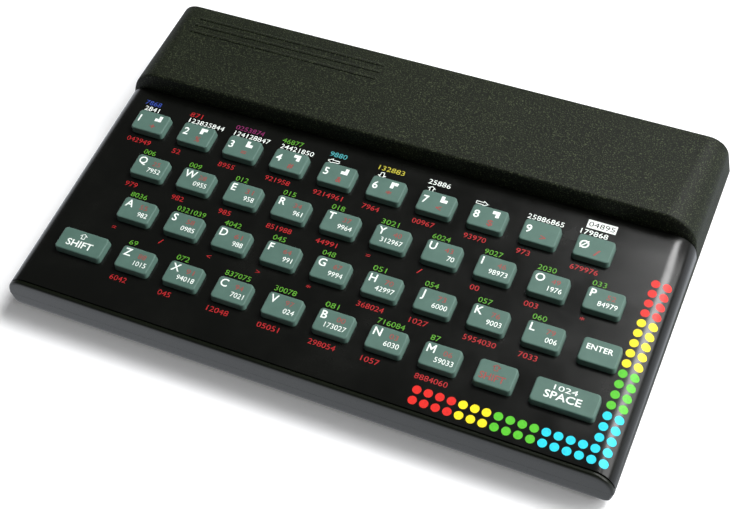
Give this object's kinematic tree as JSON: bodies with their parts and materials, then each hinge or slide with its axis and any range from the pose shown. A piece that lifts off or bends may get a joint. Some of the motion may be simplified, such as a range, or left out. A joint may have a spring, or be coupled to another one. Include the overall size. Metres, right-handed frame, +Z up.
{
  "type": "vintage home computer",
  "caption": "Compact wedge-shaped home computer: black case with a raised rear hump, black face plate and sprung grey-green rubber keys, sockets and an expansion slot at the rear.",
  "frame": {"origin": "on the surface it stands on, under the middle of the case", "axes": "+X to the user's right, +Y from the front edge to the rear, +Z up"},
  "size_m": [0.2348, 0.144, 0.03],
  "materials": {
    "case_plastic": "moulded, fine spark grain",
    "plate_metal": "satin black enamel, printed",
    "key_rubber": "moulded silicone, matt, printed",
    "mat_rubber": "moulded",
    "membrane_film": "clear film with printed tracks",
    "board_laminate": "green solder resist",
    "heatsink_metal": "plain",
    "modulator_tin": "tinned sheet",
    "socket_plastic": "moulded",
    "screw_steel": "zinc plated",
    "foot_rubber": "moulded"
  },
  "bodies": {
    "case": {"lower_case": "case_plastic", "upper_case": "case_plastic", "face_plate": "plate_metal", "key_mat": "mat_rubber", "key_membrane": "membrane_film", "mainboard": "board_laminate", "heatsink": "heatsink_metal", "tv_modulator": "modulator_tin", "ear_socket": "socket_plastic", "mic_socket": "socket_plastic", "power_socket": "socket_plastic", "case_screw_1": "screw_steel", "case_screw_2": "screw_steel", "case_screw_3": "screw_steel", "case_screw_4": "screw_steel", "case_screw_5": "screw_steel", "rubber_foot_1": "foot_rubber", "rubber_foot_2": "foot_rubber", "rubber_foot_3": "foot_rubber", "rubber_foot_4": "foot_rubber"},
    "key_1": {"key_1": "key_rubber"},
    "key_2": {"key_2": "key_rubber"},
    "key_3": {"key_3": "key_rubber"},
    "key_4": {"key_4": "key_rubber"},
    "key_5": {"key_5": "key_rubber"},
    "key_6": {"key_6": "key_rubber"},
    "key_7": {"key_7": "key_rubber"},
    "key_8": {"key_8": "key_rubber"},
    "key_9": {"key_9": "key_rubber"},
    "key_0": {"key_0": "key_rubber"},
    "key_q": {"key_q": "key_rubber"},
    "key_w": {"key_w": "key_rubber"},
    "key_e": {"key_e": "key_rubber"},
    "key_r": {"key_r": "key_rubber"},
    "key_t": {"key_t": "key_rubber"},
    "key_y": {"key_y": "key_rubber"},
    "key_u": {"key_u": "key_rubber"},
    "key_i": {"key_i": "key_rubber"},
    "key_o": {"key_o": "key_rubber"},
    "key_p": {"key_p": "key_rubber"},
    "key_a": {"key_a": "key_rubber"},
    "key_s": {"key_s": "key_rubber"},
    "key_d": {"key_d": "key_rubber"},
    "key_f": {"key_f": "key_rubber"},
    "key_g": {"key_g": "key_rubber"},
    "key_h": {"key_h": "key_rubber"},
    "key_j": {"key_j": "key_rubber"},
    "key_k": {"key_k": "key_rubber"},
    "key_l": {"key_l": "key_rubber"},
    "key_enter": {"key_enter": "key_rubber"},
    "key_caps_shift": {"key_caps_shift": "key_rubber"},
    "key_z": {"key_z": "key_rubber"},
    "key_x": {"key_x": "key_rubber"},
    "key_c": {"key_c": "key_rubber"},
    "key_v": {"key_v": "key_rubber"},
    "key_b": {"key_b": "key_rubber"},
    "key_n": {"key_n": "key_rubber"},
    "key_m": {"key_m": "key_rubber"},
    "key_symbol_shift": {"key_symbol_shift": "key_rubber"},
    "key_space": {"key_space": "key_rubber"}
  },
  "joints": [
    {"name": "key_1_press", "type": "slide", "parent": "case", "child": "key_1", "axis": [0, 0.0675, -0.9977], "range_m": [0, 0.002], "stiffness_N_per_m": 400},
    {"name": "key_2_press", "type": "slide", "parent": "case", "child": "key_2", "axis": [0, 0.0675, -0.9977], "range_m": [0, 0.002], "stiffness_N_per_m": 400},
    {"name": "key_3_press", "type": "slide", "parent": "case", "child": "key_3", "axis": [0, 0.0675, -0.9977], "range_m": [0, 0.002], "stiffness_N_per_m": 400},
    {"name": "key_4_press", "type": "slide", "parent": "case", "child": "key_4", "axis": [0, 0.0675, -0.9977], "range_m": [0, 0.002], "stiffness_N_per_m": 400},
    {"name": "key_5_press", "type": "slide", "parent": "case", "child": "key_5", "axis": [0, 0.0675, -0.9977], "range_m": [0, 0.002], "stiffness_N_per_m": 400},
    {"name": "key_6_press", "type": "slide", "parent": "case", "child": "key_6", "axis": [0, 0.0675, -0.9977], "range_m": [0, 0.002], "stiffness_N_per_m": 400},
    {"name": "key_7_press", "type": "slide", "parent": "case", "child": "key_7", "axis": [0, 0.0675, -0.9977], "range_m": [0, 0.002], "stiffness_N_per_m": 400},
    {"name": "key_8_press", "type": "slide", "parent": "case", "child": "key_8", "axis": [0, 0.0675, -0.9977], "range_m": [0, 0.002], "stiffness_N_per_m": 400},
    {"name": "key_9_press", "type": "slide", "parent": "case", "child": "key_9", "axis": [0, 0.0675, -0.9977], "range_m": [0, 0.002], "stiffness_N_per_m": 400},
    {"name": "key_0_press", "type": "slide", "parent": "case", "child": "key_0", "axis": [0, 0.0675, -0.9977], "range_m": [0, 0.002], "stiffness_N_per_m": 400},
    {"name": "key_q_press", "type": "slide", "parent": "case", "child": "key_q", "axis": [0, 0.0675, -0.9977], "range_m": [0, 0.002], "stiffness_N_per_m": 400},
    {"name": "key_w_press", "type": "slide", "parent": "case", "child": "key_w", "axis": [0, 0.0675, -0.9977], "range_m": [0, 0.002], "stiffness_N_per_m": 400},
    {"name": "key_e_press", "type": "slide", "parent": "case", "child": "key_e", "axis": [0, 0.0675, -0.9977], "range_m": [0, 0.002], "stiffness_N_per_m": 400},
    {"name": "key_r_press", "type": "slide", "parent": "case", "child": "key_r", "axis": [0, 0.0675, -0.9977], "range_m": [0, 0.002], "stiffness_N_per_m": 400},
    {"name": "key_t_press", "type": "slide", "parent": "case", "child": "key_t", "axis": [0, 0.0675, -0.9977], "range_m": [0, 0.002], "stiffness_N_per_m": 400},
    {"name": "key_y_press", "type": "slide", "parent": "case", "child": "key_y", "axis": [0, 0.0675, -0.9977], "range_m": [0, 0.002], "stiffness_N_per_m": 400},
    {"name": "key_u_press", "type": "slide", "parent": "case", "child": "key_u", "axis": [0, 0.0675, -0.9977], "range_m": [0, 0.002], "stiffness_N_per_m": 400},
    {"name": "key_i_press", "type": "slide", "parent": "case", "child": "key_i", "axis": [0, 0.0675, -0.9977], "range_m": [0, 0.002], "stiffness_N_per_m": 400},
    {"name": "key_o_press", "type": "slide", "parent": "case", "child": "key_o", "axis": [0, 0.0675, -0.9977], "range_m": [0, 0.002], "stiffness_N_per_m": 400},
    {"name": "key_p_press", "type": "slide", "parent": "case", "child": "key_p", "axis": [0, 0.0675, -0.9977], "range_m": [0, 0.002], "stiffness_N_per_m": 400},
    {"name": "key_a_press", "type": "slide", "parent": "case", "child": "key_a", "axis": [0, 0.0675, -0.9977], "range_m": [0, 0.002], "stiffness_N_per_m": 400},
    {"name": "key_s_press", "type": "slide", "parent": "case", "child": "key_s", "axis": [0, 0.0675, -0.9977], "range_m": [0, 0.002], "stiffness_N_per_m": 400},
    {"name": "key_d_press", "type": "slide", "parent": "case", "child": "key_d", "axis": [0, 0.0675, -0.9977], "range_m": [0, 0.002], "stiffness_N_per_m": 400},
    {"name": "key_f_press", "type": "slide", "parent": "case", "child": "key_f", "axis": [0, 0.0675, -0.9977], "range_m": [0, 0.002], "stiffness_N_per_m": 400},
    {"name": "key_g_press", "type": "slide", "parent": "case", "child": "key_g", "axis": [0, 0.0675, -0.9977], "range_m": [0, 0.002], "stiffness_N_per_m": 400},
    {"name": "key_h_press", "type": "slide", "parent": "case", "child": "key_h", "axis": [0, 0.0675, -0.9977], "range_m": [0, 0.002], "stiffness_N_per_m": 400},
    {"name": "key_j_press", "type": "slide", "parent": "case", "child": "key_j", "axis": [0, 0.0675, -0.9977], "range_m": [0, 0.002], "stiffness_N_per_m": 400},
    {"name": "key_k_press", "type": "slide", "parent": "case", "child": "key_k", "axis": [0, 0.0675, -0.9977], "range_m": [0, 0.002], "stiffness_N_per_m": 400},
    {"name": "key_l_press", "type": "slide", "parent": "case", "child": "key_l", "axis": [0, 0.0675, -0.9977], "range_m": [0, 0.002], "stiffness_N_per_m": 400},
    {"name": "key_enter_press", "type": "slide", "parent": "case", "child": "key_enter", "axis": [0, 0.0675, -0.9977], "range_m": [0, 0.002], "stiffness_N_per_m": 400},
    {"name": "key_caps_shift_press", "type": "slide", "parent": "case", "child": "key_caps_shift", "axis": [0, 0.0675, -0.9977], "range_m": [0, 0.002], "stiffness_N_per_m": 400},
    {"name": "key_z_press", "type": "slide", "parent": "case", "child": "key_z", "axis": [0, 0.0675, -0.9977], "range_m": [0, 0.002], "stiffness_N_per_m": 400},
    {"name": "key_x_press", "type": "slide", "parent": "case", "child": "key_x", "axis": [0, 0.0675, -0.9977], "range_m": [0, 0.002], "stiffness_N_per_m": 400},
    {"name": "key_c_press", "type": "slide", "parent": "case", "child": "key_c", "axis": [0, 0.0675, -0.9977], "range_m": [0, 0.002], "stiffness_N_per_m": 400},
    {"name": "key_v_press", "type": "slide", "parent": "case", "child": "key_v", "axis": [0, 0.0675, -0.9977], "range_m": [0, 0.002], "stiffness_N_per_m": 400},
    {"name": "key_b_press", "type": "slide", "parent": "case", "child": "key_b", "axis": [0, 0.0675, -0.9977], "range_m": [0, 0.002], "stiffness_N_per_m": 400},
    {"name": "key_n_press", "type": "slide", "parent": "case", "child": "key_n", "axis": [0, 0.0675, -0.9977], "range_m": [0, 0.002], "stiffness_N_per_m": 400},
    {"name": "key_m_press", "type": "slide", "parent": "case", "child": "key_m", "axis": [0, 0.0675, -0.9977], "range_m": [0, 0.002], "stiffness_N_per_m": 400},
    {"name": "key_symbol_shift_press", "type": "slide", "parent": "case", "child": "key_symbol_shift", "axis": [0, 0.0675, -0.9977], "range_m": [0, 0.002], "stiffness_N_per_m": 400},
    {"name": "key_space_press", "type": "slide", "parent": "case", "child": "key_space", "axis": [0, 0.0675, -0.9977], "range_m": [0, 0.002], "stiffness_N_per_m": 400}
  ]
}
